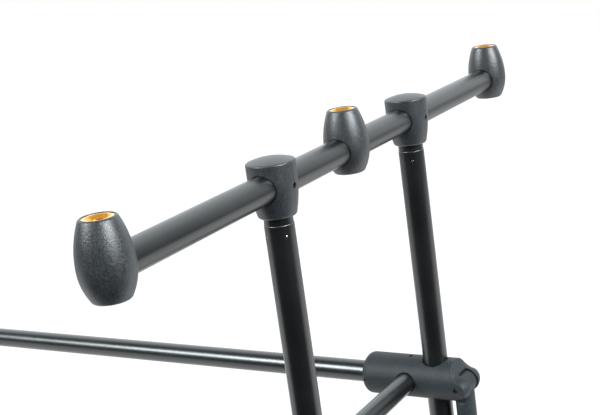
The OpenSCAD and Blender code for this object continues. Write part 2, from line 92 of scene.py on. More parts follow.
class PodShape(bpy.types.PropertyGroup):
    """Sizes of the finished pieces that the solids' boxes do not give."""

    tube_wall: FloatProperty(
        name="Tube wall", description="Wall of every tube", default=0.0012, unit="LENGTH"
    )
    rim_bevel: FloatProperty(
        name="Tube rim", description="Bevel on the cut rim of a tube", default=0.0003, unit="LENGTH"
    )
    tube_sides: IntProperty(
        name="Tube sides", description="Sides round a tube", default=72, min=24
    )
    seat_gap: FloatProperty(
        name="Seat gap", description="Gap round a bar in a moulding", default=0.0003, unit="LENGTH"
    )
    head_top: FloatProperty(
        name="Head top", description="Radius of a head's top face", default=0.0084, unit="LENGTH"
    )
    head_bottom: FloatProperty(
        name="Head bottom", description="Radius of a head's bottom", default=0.0085, unit="LENGTH"
    )
    head_belly: FloatProperty(
        name="Head belly",
        description="Height of a head's widest ring above the bar's axis",
        default=0.0015,
        unit="LENGTH",
    )
    head_overrun: FloatProperty(
        name="Bar overrun",
        description="Depth of an outer head's blind bore past its axis",
        default=0.00525,
        unit="LENGTH",
    )
    head_edge: FloatProperty(
        name="Head edge", description="Rounding of a head's end edges", default=0.0011, unit="LENGTH"
    )
    thread_pitch: FloatProperty(
        name="Thread pitch", description="Pitch of an insert's thread", default=0.00127, unit="LENGTH"
    )
    thread_minor: FloatProperty(
        name="Thread minor radius",
        description="Radius at the crests of an insert's thread",
        default=0.00415,
        unit="LENGTH",
    )
    thread_major: FloatProperty(
        name="Thread major radius",
        description="Radius at the roots of an insert's thread",
        default=0.00476,
        unit="LENGTH",
    )
    countersink: FloatProperty(
        name="Countersink", description="Radius of an insert's mouth", default=0.00565, unit="LENGTH"
    )
    insert_edge: FloatProperty(
        name="Insert edge",
        description="Bevel of an insert's outer edge",
        default=0.00025,
        unit="LENGTH",
    )
    mouth_edge: FloatProperty(
        name="Mouth edge", description="Bevel of an insert's mouth", default=0.0002, unit="LENGTH"
    )
    tee_bottom: FloatProperty(
        name="Tee bottom", description="Radius of a tee's bottom", default=0.01, unit="LENGTH"
    )
    tee_drop: FloatProperty(
        name="Tee drop",
        description="Depth of a tee below the bar's axis",
        default=0.0164,
        unit="LENGTH",
    )
    tee_shoulder: FloatProperty(
        name="Tee shoulder",
        description="Height above the bar's axis where a tee starts to draw in",
        default=0.006,
        unit="LENGTH",
    )
    tee_rim: FloatProperty(
        name="Tee rim",
        description="Height of a tee's rim above the bar's axis",
        default=0.0126,
        unit="LENGTH",
    )
    tee_edge: FloatProperty(
        name="Tee edge", description="Rounding of a tee's rim", default=0.0007, unit="LENGTH"
    )
    tee_foot_edge: FloatProperty(
        name="Tee lower edge",
        description="Rounding of a tee's lower edge",
        default=0.0014,
        unit="LENGTH",
    )
    seam: FloatProperty(
        name="Seam", description="Width and depth of the seam down a tee", default=0.0002, unit="LENGTH"
    )
    tee_neck: FloatProperty(
        name="Tee neck", description="Radius of the neck under a tee", default=0.0077, unit="LENGTH"
    )
    grub_hole: FloatProperty(
        name="Grub hole", description="Radius of a tee's grub screw hole", default=0.0015, unit="LENGTH"
    )
    rivet_hole: FloatProperty(
        name="Rivet hole",
        description="Radius of an upright's rivet holes",
        default=0.00095,
        unit="LENGTH",
    )
    rivet_dome: FloatProperty(
        name="Rivet dome", description="Height of a rivet's domed head", default=0.0004, unit="LENGTH"
    )
    rivet_sink: FloatProperty(
        name="Rivet sink",
        description="Depth of a rivet's head below the tube's surface",
        default=0.0001,
        unit="LENGTH",
    )
    mould_grid: FloatProperty(
        name="Mould grid", description="Grid of the softened mouldings", default=0.0004, unit="LENGTH"
    )
    mould_passes: IntProperty(
        name="Mould passes", description="Smoothing passes on the softened mouldings", default=3, min=1
    )
    foot_round: FloatProperty(
        name="Foot rounding",
        description="Rounding of a foot's lower edge",
        default=0.003,
        unit="LENGTH",
    )
    foot_top: FloatProperty(
        name="Foot top", description="Radius of a foot's top", default=0.007, unit="LENGTH"
    )
    foot_edge: FloatProperty(
        name="Foot edge", description="Rounding of a foot's upper edge", default=0.0008, unit="LENGTH"
    )
    foot_grooves: IntProperty(
        name="Foot grooves", description="Grip grooves round a foot", default=4, min=0
    )
    groove_depth: FloatProperty(
        name="Groove depth", description="Depth of a foot's grip grooves", default=0.0007, unit="LENGTH"
    )
    cap_edge: FloatProperty(
        name="Cap edge",
        description="Rounding of an upright cap's lower edge",
        default=0.0012,
        unit="LENGTH",
    )


class PodFinish(bpy.types.PropertyGroup):
    """Colours and surface values of the pod's finishes."""

    plastic_dark: FloatVectorProperty(
        name="Plastic, dark", description="Darker tone of the grained plastic", subtype="COLOR",
        default=(0.0235, 0.0285, 0.0325), min=0, max=1,
    )
    plastic_light: FloatVectorProperty(
        name="Plastic, light", description="Lighter tone of the grained plastic", subtype="COLOR",
        default=(0.032, 0.0385, 0.044), min=0, max=1,
    )
    grain: FloatProperty(
        name="Grain", description="Size of the plastic's moulded grain", default=0.001, unit="LENGTH"
    )
    slate_dark: FloatVectorProperty(
        name="Slate, dark",
        description="Darker tone of the hubs, knuckles and collars",
        subtype="COLOR",
        default=(0.0165, 0.0235, 0.027), min=0, max=1,
    )
    slate_light: FloatVectorProperty(
        name="Slate, light",
        description="Lighter tone of the hubs, knuckles and collars",
        subtype="COLOR",
        default=(0.0225, 0.032, 0.0365), min=0, max=1,
    )
    anodised_dark: FloatVectorProperty(
        name="Anodised, dark", description="Darker tone of the anodised tubes", subtype="COLOR",
        default=(0.0040, 0.0042, 0.0045), min=0, max=1,
    )
    anodised_light: FloatVectorProperty(
        name="Anodised, light", description="Lighter tone of the anodised tubes", subtype="COLOR",
        default=(0.0075, 0.0079, 0.0083), min=0, max=1,
    )
    anodised_sheen: FloatVectorProperty(
        name="Anodised sheen", description="Tint of the light that the tubes reflect", subtype="COLOR",
        default=(0.93, 0.99, 1.0), min=0, max=1,
    )
    # painted shade: a darker brass that the thread takes, so the bore inside each insert looks shaded
    brass_painted_shade: FloatVectorProperty(
        name="Brass shade", description="Brass down in the thread", subtype="COLOR",
        default=(0.74, 0.36, 0.05), min=0, max=1,
    )
    brass_deep: FloatVectorProperty(
        name="Brass, deep", description="Deeper tone of the brass", subtype="COLOR",
        default=(0.86, 0.42, 0.08), min=0, max=1,
    )
    brass_pale: FloatVectorProperty(
        name="Brass, pale", description="Paler tone of the brass", subtype="COLOR",
        default=(1.0, 0.72, 0.36), min=0, max=1,
    )
    cut_metal: FloatVectorProperty(
        name="Cut metal", description="Bare aluminium on a cut rim", subtype="COLOR",
        default=(0.30, 0.305, 0.31), min=0, max=1,
    )
    rivet: FloatVectorProperty(
        name="Rivets", description="Bright steel of the rivets", subtype="COLOR",
        default=(0.6, 0.6, 0.61), min=0, max=1,
    )
    steel: FloatVectorProperty(
        name="Steel", description="Screws and pins", subtype="COLOR",
        default=(0.24, 0.24, 0.25), min=0, max=1,
    )
    rubber: FloatVectorProperty(
        name="Rubber", description="Feet", subtype="COLOR",
        default=(0.016, 0.0165, 0.017), min=0, max=1,
    )


class PodStudio(bpy.types.PropertyGroup):
    """Camera and light."""

    lens: FloatProperty(
        name="Lens", description="Focal length on a 36 mm sensor, in mm", default=70.6003, min=10
    )
    camera_at: FloatVectorProperty(
        name="Camera", description="Place of the camera", subtype="TRANSLATION", unit="LENGTH",
        default=(0.673903, -0.568493, 0.609064),
    )
    yaw: FloatProperty(
        name="Yaw", description="Turn of the camera from +Y towards -X", subtype="ANGLE",
        default=math.radians(32.3916),
    )
    pitch: FloatProperty(
        name="Pitch", description="Tilt of the camera below the horizon", subtype="ANGLE",
        default=math.radians(13.9724),
    )
    roll: FloatProperty(
        name="Roll", description="Roll of the camera about its view", subtype="ANGLE",
        default=math.radians(-8.0715),
    )
    backdrop_way: FloatVectorProperty(
        name="Backdrop", description="Direction of the bright backdrop", subtype="DIRECTION",
        default=(-0.5, 0.866, 0.0),
    )
    backdrop_level: FloatProperty(
        name="Backdrop level", description="Light of the backdrop", default=1.65, min=0
    )
    backdrop_foot: FloatProperty(
        name="Backdrop foot",
        description="Share of the backdrop's light near the ground",
        default=0.4,
        min=0,
        max=1,
    )
    backdrop_edge: FloatVectorProperty(
        name="Backdrop edge",
        description="Cosines to the backdrop's direction where its light starts and is full",
        size=2,
        default=(0.25, 0.62),
    )
    backdrop_rise: FloatVectorProperty(
        name="Backdrop rise",
        description="Heights of a direction where the backdrop is dimmest and full",
        size=2,
        default=(-0.2, 0.1),
    )
    room_level: FloatProperty(
        name="Room level", description="Light of the room in front of the backdrop", default=0.12, min=0
    )
    floor_ahead: FloatProperty(
        name="Floor ahead",
        description="Reach towards the camera of the floor that lights the pod",
        default=0.36,
        unit="LENGTH",
    )
    floor_side: FloatProperty(
        name="Floor side", description="Side of the square floor", default=4.0, unit="LENGTH"
    )
    floor_paint: FloatProperty(
        name="Floor paint",
        description="How much light the floor gives back",
        default=0.45,
        min=0,
        max=1,
    )
    floor_glow: FloatProperty(
        name="Floor glow",
        description="White that the seen floor adds to its light",
        default=0.4,
        min=0,
        max=1,
    )
    floor_shine: FloatProperty(
        name="Floor shine",
        description="Light of the floor under the pod, in reflections",
        default=1.25,
        min=0,
    )
    floor_far: FloatProperty(
        name="Floor far",
        description="Light of the floor behind the pod, in reflections",
        default=0.75,
        min=0,
    )
    floor_fade: FloatVectorProperty(
        name="Floor fade",
        description="Distances behind the pod where that light starts to fade and has faded",
        size=2,
        default=(0.2, 1.3),
        unit="LENGTH",
    )
    light_tint: FloatVectorProperty(
        name="Light tint", description="Colour of all the light", subtype="COLOR",
        default=(0.955, 1.0, 1.03), min=0, soft_max=1,
    )
    left_way: FloatVectorProperty(
        name="Left light", description="Direction of the left light", subtype="DIRECTION",
        default=(-0.493, -0.678, 0.545),
    )
    left_level: FloatProperty(
        name="Left level", description="Strength of the left light", default=2.7, min=0
    )
    left_spread: FloatProperty(
        name="Left spread", description="How wide the left light looks", subtype="ANGLE",
        default=math.radians(20),
    )
    right_way: FloatVectorProperty(
        name="Right light", description="Direction of the right light", subtype="DIRECTION",
        default=(0.878, -0.077, 0.472),
    )
    right_level: FloatProperty(
        name="Right level", description="Strength of the right light", default=4.2, min=0
    )
    right_spread: FloatProperty(
        name="Right spread", description="How wide the right light looks", subtype="ANGLE",
        default=math.radians(26),
    )


def shape():
    return bpy.context.scene.pod_shape


def finish():
    return bpy.context.scene.pod_finish


def body_of(node):
    return NODES[node]["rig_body"]


def middle(node):
    low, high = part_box(node)
    return (low + high) / 2


def size(node):
    low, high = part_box(node)
    return high - low


def facing(at, direction):
    """A matrix that takes +Z to a direction and the origin to a place."""
    turn = Vector(direction).to_track_quat("Z", "Y").to_matrix().to_4x4()
    return Matrix.Translation(at) @ turn


class Outline:
    """A lathe outline beside the Z axis, drawn from point to point and then spun."""

    def __init__(self, r, z):
        self.bm = bmesh.new()
        self.tip = self.bm.verts.new((r, 0, z))

    def line(self, r, z):
        made = bmesh.ops.extrude_vert_indiv(self.bm, verts=[self.tip])
        self.tip = made["verts"][0]
        self.tip.co = (r, 0, z)

    def arc(self, r, z, angle, steps):
        """Turns the tip about a centre. A positive angle goes from +Z towards +X."""
        made = bmesh.ops.spin(
            self.bm, geom=[self.tip], cent=(r, 0, z), axis=(0, 1, 0), angle=angle, steps=steps
        )
        self.tip = next(g for g in made["geom_last"] if isinstance(g, bmesh.types.BMVert))

    def close(self):
        first = self.bm.verts[:][0]
        self.bm.edges.new((self.tip, first))

    def spin(self, sides):
        bm = self.bm
        bmesh.ops.spin(
            bm, geom=bm.verts[:] + bm.edges[:], axis=(0, 0, 1), angle=FULL_TURN,
            steps=sides, use_merge=True,
        )
        bmesh.ops.remove_doubles(bm, verts=bm.verts, dist=WELD)
        bmesh.ops.recalc_face_normals(bm, faces=bm.faces)
        return bm


def round_edges(bm, edges, width, segments=3):
    bmesh.ops.bevel(
        bm, geom=edges, offset=width, offset_type="OFFSET", segments=segments,
        profile=0.5, affect="EDGES", clamp_overlap=True, material=-1,
    )


def ring_edges(bm, r, z):
    """The edges of the ring that a spun point left at a radius and a height."""
    def on_ring(vert):
        return abs(vert.co.z - z) < NEAR and abs(vert.co.xy.length - r) < NEAR

    return [e for e in bm.edges if on_ring(e.verts[0]) and on_ring(e.verts[1])]


def rod(r, length, place, sides=48):
    """A solid cylinder along +Z from the origin of a placing matrix."""
    bm = bmesh.new()
    bmesh.ops.create_cone(
        bm, cap_ends=True, segments=sides, radius1=r, radius2=r, depth=length,
        matrix=place @ Matrix.Translation((0, 0, length / 2)),
    )
    return bm


def loose_object(bm, name):
    """Puts a mesh in the scene as an object and frees the bmesh."""
    mesh = bpy.data.meshes.new(name)
    bm.to_mesh(mesh)
    bm.free()
    thing = bpy.data.objects.new(name, mesh)
    bpy.context.scene.collection.objects.link(thing)
    return thing


def gather(whole, bm):
    """Adds a mesh to a group of meshes and frees it."""
    part = bpy.data.meshes.new("part")
    bm.to_mesh(part)
    bm.free()
    whole.from_mesh(part)
    bpy.data.meshes.remove(part)


def carve(bm, cutters):
    """Cuts solids out of a solid and returns what is left."""
    body = loose_object(bm, "uncut")
    tools = [loose_object(cutter, "cutter") for cutter in cutters]
    for tool in tools:
        cut = body.modifiers.new("cut", "BOOLEAN")
        cut.operation = "DIFFERENCE"
        cut.solver = "EXACT"
        cut.object = tool
    carved = body.evaluated_get(bpy.context.evaluated_depsgraph_get())
    result = bmesh.new()
    result.from_mesh(carved.to_mesh())
    for thing in [body, *tools]:
        mesh = thing.data
        bpy.data.objects.remove(thing)
        bpy.data.meshes.remove(mesh)
    return result


def dress(node, bm, *finishes):
    """Makes the piece that stands for a solid, on the solid's body, and hides the solid."""
    piece = loose_object(bm, node + "_piece")
    for look in finishes:
        piece.data.materials.append(look)
    piece.data.polygons.foreach_set("use_smooth", [True] * len(piece.data.polygons))
    piece.data.set_sharp_from_angle(angle=SHARP)
    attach(piece, body_of(node))
    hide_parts(node)
    return piece


def weigh(piece):
    """Lets the large faces of a piece own its shading, so a bevel does not tint them."""
    normals = piece.modifiers.new("face weights", "WEIGHTED_NORMAL")
    normals.mode = "FACE_AREA"
    normals.keep_sharp = True
    return piece


def soften(node, look):
    """A moulding's solid with its edges rounded over, as it leaves the mould."""
    bm = bmesh.new()
    bm.from_mesh(NODES[node].data)
    bmesh.ops.remove_doubles(bm, verts=bm.verts, dist=WELD)
    piece = dress(node, bm, look)
    grid = piece.modifiers.new("grid", "REMESH")
    grid.mode = "VOXEL"
    grid.voxel_size = shape().mould_grid
    grid.use_smooth_shade = True
    smooth = piece.modifiers.new("soft edges", "SMOOTH")
    smooth.factor = 0.5
    smooth.iterations = shape().mould_passes
    return piece


class Shader:
    """A material's node tree around one Principled BSDF."""

    def __init__(self, name):
        self.material = bpy.data.materials.new(name)
        self.material.use_nodes = True
        self.tree = self.material.node_tree
        self.surface = self.tree.nodes["Principled BSDF"]
        self.place = self.tree.nodes.new("ShaderNodeTexCoord").outputs["Object"]

    def link(self, source, node, socket):
        self.tree.links.new(source, node.inputs[socket])

    def set(self, **values):
        for name, value in values.items():
            self.surface.inputs[name.replace("_", " ")].default_value = value

    def stretched(self, scale):
        """Object coordinates, scaled along each axis."""
        node = self.tree.nodes.new("ShaderNodeMapping")
        node.inputs["Scale"].default_value = scale
        self.link(self.place, node, "Vector")
        return node.outputs["Vector"]

    def noise(self, vector, scale=1.0, detail=2.0, rough=0.5):
        node = self.tree.nodes.new("ShaderNodeTexNoise")
        node.inputs["Scale"].default_value = scale
        node.inputs["Detail"].default_value = detail
        node.inputs["Roughness"].default_value = rough
        self.link(vector, node, "Vector")
        return node.outputs["Fac"]

    def ramp(self, factor, low, high, start=0.35, end=0.65):
        """Blends two colours over a stretch of a factor."""
        node = self.tree.nodes.new("ShaderNodeValToRGB")
        first, last = node.color_ramp.elements
        first.position, last.position = start, end
        first.color, last.color = (*low, 1), (*high, 1)
        self.link(factor, node, "Fac")
        return node.outputs["Color"]

    def spread(self, factor, low, high):
        """Maps a factor from 0..1 to a range of values."""
        node = self.tree.nodes.new("ShaderNodeMapRange")
        node.inputs["To Min"].default_value = low
        node.inputs["To Max"].default_value = high
        self.link(factor, node, "Value")
        return node.outputs["Result"]

    def speckled(self, colour, grain, low, high):
        """Scales a colour between two shares of itself by a grain."""
        share = self.ramp(grain, [low] * 3, [high] * 3)
        node = self.tree.nodes.new("ShaderNodeVectorMath")
        node.operation = "MULTIPLY"
        self.tree.links.new(colour, node.inputs[0])
        self.tree.links.new(share, node.inputs[1])
        return node.outputs["Vector"]

    def bump(self, height, strength, distance, under=None):
        node = self.tree.nodes.new("ShaderNodeBump")
        node.inputs["Strength"].default_value = strength
        node.inputs["Distance"].default_value = distance
        self.link(height, node, "Height")
        if under:
            self.link(under, node, "Normal")
        return node.outputs["Normal"]

    def wire(self, **sources):
        for name, source in sources.items():
            self.link(source, self.surface, name.replace("_", " "))


def moulded_plastic(name, dark, light, smooth, dull, shine):
    """Dark moulded plastic with a spark-eroded grain, faint mottling and a range of roughness."""
    s = Shader(name)
    look = finish()
    mottle = s.noise(s.place, scale=90.0, detail=3.0)
    grain = s.noise(s.place, scale=1.0 / look.grain, detail=3.0, rough=0.7)
    lumps = s.noise(s.place, scale=0.3 / look.grain, detail=1.0)
    fine = s.bump(grain, strength=0.7, distance=0.0002)
    s.wire(
        Base_Color=s.speckled(s.ramp(mottle, dark, light), grain, low=0.55, high=1.45),
        Roughness=s.spread(grain, smooth, dull),
        Normal=s.bump(lumps, strength=0.25, distance=0.00012, under=fine),
    )
    s.set(Specular_IOR_Level=shine)
    return s.material


def anodised(name, axis, gloss, satin):
    """Black anodised tube, drawn along one axis, with faint draw lines and dust."""
    s = Shader(name)
    look = finish()
    drawn = [900.0, 900.0, 900.0]
    drawn[axis] = 9.0
    lines = s.noise(s.stretched(drawn))
    cloud = s.noise(s.place, scale=35.0, detail=3.0)
    specks = s.noise(s.place, scale=1400.0, detail=1.0)
    dust = s.bump(specks, strength=0.04, distance=0.00003)
    s.wire(
        Base_Color=s.ramp(cloud, look.anodised_dark, look.anodised_light),
        Roughness=s.spread(cloud, gloss, satin),
        Normal=s.bump(lines, strength=0.05, distance=0.00003, under=dust),
    )
    s.set(Specular_IOR_Level=1.0, Specular_Tint=(*look.anodised_sheen, 1))
    return s.material


def turned_brass(name, deep, pale, smooth, dull, metal):
    """Turned brass with fine tool marks round the axis. metal is lower where the cut is rough."""
    s = Shader(name)
    marks = s.noise(s.stretched((60.0, 60.0, 4200.0)))
    tone = s.noise(s.place, scale=420.0)
    s.wire(
        Base_Color=s.ramp(tone, deep, pale, start=0.3, end=0.7),
        Roughness=s.spread(tone, smooth, dull),
        Normal=s.bump(marks, strength=0.12, distance=0.00004),
    )
    s.set(Metallic=metal)
    return s.material


def bare_metal(name, colour, smooth, dull):
    """Bare metal with a fine grain."""
    s = Shader(name)
    grain = s.noise(s.place, scale=2600.0)
    s.wire(
        Roughness=s.spread(grain, smooth, dull),
        Normal=s.bump(grain, strength=0.15, distance=0.00003),
    )
    s.set(Base_Color=(*colour, 1), Metallic=1.0)
    return s.material


def moulded_rubber(name):
    """Matt rubber with a dusty, slightly pitted skin."""
    s = Shader(name)
    look = finish()
    pits = s.noise(s.place, scale=1500.0, detail=3.0)
    dust = s.noise(s.place, scale=160.0, detail=3.0)
    dusty = [1.9 * c for c in look.rubber]
    s.wire(
        Base_Color=s.ramp(dust, look.rubber, dusty),
        Roughness=s.spread(pits, low=0.62, high=0.85),
        Normal=s.bump(pits, strength=0.35, distance=0.0001),
    )
    return s.material


def finish_named(name):
    """A finish by name, made on first use."""
    if name not in FINISHES:
        look = finish()
        makers = {
            "moulded_plastic": lambda: moulded_plastic(
                name, look.plastic_dark, look.plastic_light, smooth=0.28, dull=0.56, shine=1.0
            ),
            "textured_plastic": lambda: moulded_plastic(
                name, look.slate_dark, look.slate_light, smooth=0.44, dull=0.74, shine=0.5
            ),
            "turned_brass": lambda: turned_brass(
                name, look.brass_deep, look.brass_pale, smooth=0.13, dull=0.3, metal=0.92
            ),
            # the thread's brass is a darker copy of the brass, with painted shade down in the bore, and
            # less metal
            "thread_brass_painted_shade": lambda: turned_brass(
                name, look.brass_painted_shade, look.brass_deep, smooth=0.13, dull=0.34, metal=0.58
            ),
            "moulded_rubber": lambda: moulded_rubber(name),
            "cut_metal": lambda: bare_metal(name, look.cut_metal, smooth=0.36, dull=0.5),
            "rivet_steel": lambda: bare_metal(name, look.rivet, smooth=0.14, dull=0.26),
            "fastener_steel": lambda: bare_metal(name, look.steel, smooth=0.2, dull=0.32),
            "anodised_x": lambda: anodised(name, axis=0, gloss=0.27, satin=0.35),
            "anodised_y": lambda: anodised(name, axis=1, gloss=0.27, satin=0.35),
            "anodised_z": lambda: anodised(name, axis=2, gloss=0.27, satin=0.35),
            "anodised_satin": lambda: anodised(name, axis=1, gloss=0.28, satin=0.36),
        }
        FINISHES[name] = makers[name]()
    return FINISHES[name]


def tube(node, cutters=(), rings=(), bare=False, look=None):
    """A drawn tube in the place of its solid, with bevelled rims, bare where it was cut.
    rings are heights above the tube's lower end where the wall gets an extra loop."""
    low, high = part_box(node)
    spans = high - low
    axis = max(range(3), key=lambda i: spans[i])
    length = spans[axis]
    outer = min(spans) / 2
    inner = outer - shape().tube_wall
    direction = [float(i == axis) for i in range(3)]
    start = (low + high) / 2 - Vector(direction) * length / 2
    wall = Outline(inner, 0)
    wall.line(outer, 0)
    for z in rings:
        wall.line(outer, z)
    wall.line(outer, length)
    wall.line(inner, length)
    wall.close()
    bm = wall.spin(shape().tube_sides)
    rims = [e for z in (0, length) for r in (inner, outer) for e in ring_edges(bm, r, z)]
    rim = shape().rim_bevel
    round_edges(bm, rims, rim, 2)
    for face in bm.faces:
        z = face.calc_center_median().z
        face.material_index = int(bare and not rim < z < length - rim)
    bmesh.ops.transform(bm, matrix=facing(start, direction), verts=bm.verts)
    if cutters:
        bm = carve(bm, cutters)
    look = look or "anodised_" + "xyz"[axis]
    return weigh(dress(node, bm, finish_named(look), finish_named("cut_metal")))


def rivet_ways(end, node):
    """The directions in which the rivets of one upright point, from the group of all the rivets."""
    axis = middle(node)
    reach = max(size(node).xy)
    steel = bmesh.new()
    steel.from_mesh(NODES[f"{end}_tee_rivets"].data)
    bmesh.ops.remove_doubles(steel, verts=steel.verts, dist=WELD)
    heads = []
    for face in steel.faces:
        out = (face.calc_center_median() - axis).xy
        if out.length < reach and face.normal.xy.dot(out.normalized()) > SQUARE_ON:
            heads.append(face.normal.xy.normalized())
    steel.free()
    return sorted({(round(h.x, 2), round(h.y, 2)) for h in heads})


class PodOperator(bpy.types.Operator):
    """Base of the pod's operators."""

    bl_options = {"REGISTER", "UNDO"}

    def execute(self, context):
        self.build()
        return {"FINISHED"}


class POD_OT_tubes(PodOperator):
    """Make the buzz bars, cross bars, rails, leg tubes and extensions"""

    bl_idname = "pod.tubes"
    bl_label = "Plain tubes"

    def build(self):
        for end in ENDS:
            tube(f"{end}_buzz_bar", look="anodised_satin")
            tube(f"{end}_cross_bar")
            for side in SIDES:
                tube(f"{end}_{side}_leg_tube")
                tube(f"{end}_{side}_leg_extension")
        for side in SIDES:
            tube(f"{side}_inner_rail")
            tube(f"{side}_outer_rail")


class POD_OT_uprights(PodOperator):
    """Make the uprights, with the holes of their rivets"""

    bl_idname = "pod.uprights"
    bl_label = "Uprights"

    def build(self):
        hole = shape().rivet_hole
        for end in ENDS:
            height = middle(f"{end}_tee_rivets").z
            for side in SIDES:
                node = f"{end}_{side}_upright"
                axis = middle(node).xy
                reach = size(node).x
                cutters = [
                    rod(hole, reach, facing((*axis, height), (x, y, 0)), HOLE_SIDES)
                    for x, y in rivet_ways(end, node)
                ]
                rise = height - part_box(node)[0].z
                tube(node, cutters, (rise - 2 * hole, rise + 2 * hole), bare=True)


class POD_OT_heads(PodOperator):
    """Make the barrel-shaped heads of the buzz bars"""

    bl_idname = "pod.heads"
    bl_label = "Heads"

    # rounding of the top and pocket edges, as shares of the bottom edge's
    TOP_SHARE = 0.8
    POCKET_SHARE = 0.25

    def barrel(self, node, insert_node):
        """A barrel about the Z axis with the pocket of its insert. Heights are from the bar's axis."""
        s = shape()
        low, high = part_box(node)
        bar = middle(node.split("_")[0] + "_buzz_bar").z
        top, bottom = high.z - bar, low.z - bar
        widest = (high.x - low.x) / 2
        pocket = size(insert_node).x / 2
        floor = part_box(insert_node)[0].z - bar
        out = Outline(0, bottom)
        out.line(s.head_bottom, bottom)
        below, above = s.head_belly - bottom, top - s.head_belly
        for tip_r, rise in ((s.head_bottom, below), (s.head_top, above)):
            draw = widest - tip_r
            arc = (draw * draw + rise * rise) / (2 * draw)
            out.arc(widest - arc, s.head_belly, -math.asin(rise / arc), 18)
        out.line(pocket, top)
        out.line(pocket, floor)
        out.line(0, floor)
        bm = out.spin(LATHE_SIDES)
        round_edges(bm, ring_edges(bm, s.head_bottom, bottom), s.head_edge, 4)
        round_edges(bm, ring_edges(bm, s.head_top, top), s.head_edge * self.TOP_SHARE, 4)
        round_edges(bm, ring_edges(bm, pocket, top), s.head_edge * self.POCKET_SHARE, 2)
        bmesh.ops.remove_doubles(bm, verts=bm.verts, dist=WELD)
        return bm

    def build(self):
        s = shape()
        for end in ENDS:
            bar = middle(f"{end}_buzz_bar")
            bore = size(f"{end}_buzz_bar").x / 2 + s.seat_gap
            for place, across in (("left_outer", 1), ("middle", 0), ("right_outer", -1)):
                node = f"{end}_{place}_head"
                bm = self.barrel(node, f"{end}_inserts")
                width = size(node).x
                at = Vector((bar.x, middle(node).y, bar.z))
                if across:
                    at.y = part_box(node)[0 if across < 0 else 1].y - across * width / 2
                bmesh.ops.translate(bm, verts=bm.verts, vec=at)
                inward = Vector((0, -across or 1, 0))
                depth = s.head_overrun if across else width
                mouth = at - inward * depth
                cutter = rod(bore, depth + width, facing(mouth, inward), RING_SIDES)
                weigh(dress(node, carve(bm, [cutter]), finish_named("moulded_plastic")))


class POD_OT_inserts(PodOperator):
    """Make the threaded brass inserts"""

    bl_idname = "pod.inserts"
    bl_label = "Brass inserts"

    MOUTH_SLOPE = 0.7  # depth of the countersink for its width
    FLANK = 0.4  # share of the pitch from a root to the crest below it
    CREST = 0.55  # share of the pitch from a root to the crest's other side

    def insert(self, low, high, r):
        """One insert about the Z axis: a turned sleeve with a thread and a countersunk mouth."""
        s = shape()
        z = high - self.MOUTH_SLOPE * (s.countersink - s.thread_minor)
        out = Outline(s.countersink, high)
        out.line(s.thread_major, z)
        while z - s.thread_pitch > low:
            out.line(s.thread_minor, z - self.FLANK * s.thread_pitch)
            out.line(s.thread_minor, z - self.CREST * s.thread_pitch)
            z -= s.thread_pitch
            out.line(s.thread_major, z)
        out.line(s.thread_major, low)
        out.line(r, low)
        out.line(r, high)
        out.close()
        bm = out.spin(RING_SIDES)
        round_edges(bm, ring_edges(bm, r, high), s.insert_edge, 2)
        round_edges(bm, ring_edges(bm, s.countersink, high), s.mouth_edge, 2)
        # faces inside the mouth take the thread's brass, whose darker colour is painted shade down in
        # the bore
        for face in bm.faces:
            face.material_index = int(face.calc_center_median().xy.length < s.countersink)
        return bm

    def build(self):
        for end in ENDS:
            node = f"{end}_inserts"
            low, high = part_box(node)
            centre = middle(node)
            r = (high.x - low.x) / 2
            whole = bmesh.new()
            for y in (low.y + r, centre.y, high.y - r):
                bm = self.insert(low.z, high.z, r)
                bmesh.ops.translate(bm, verts=bm.verts, vec=(centre.x, y, 0))
                gather(whole, bm)
            dress(node, whole, finish_named("turned_brass"), finish_named("thread_brass_painted_shade"))


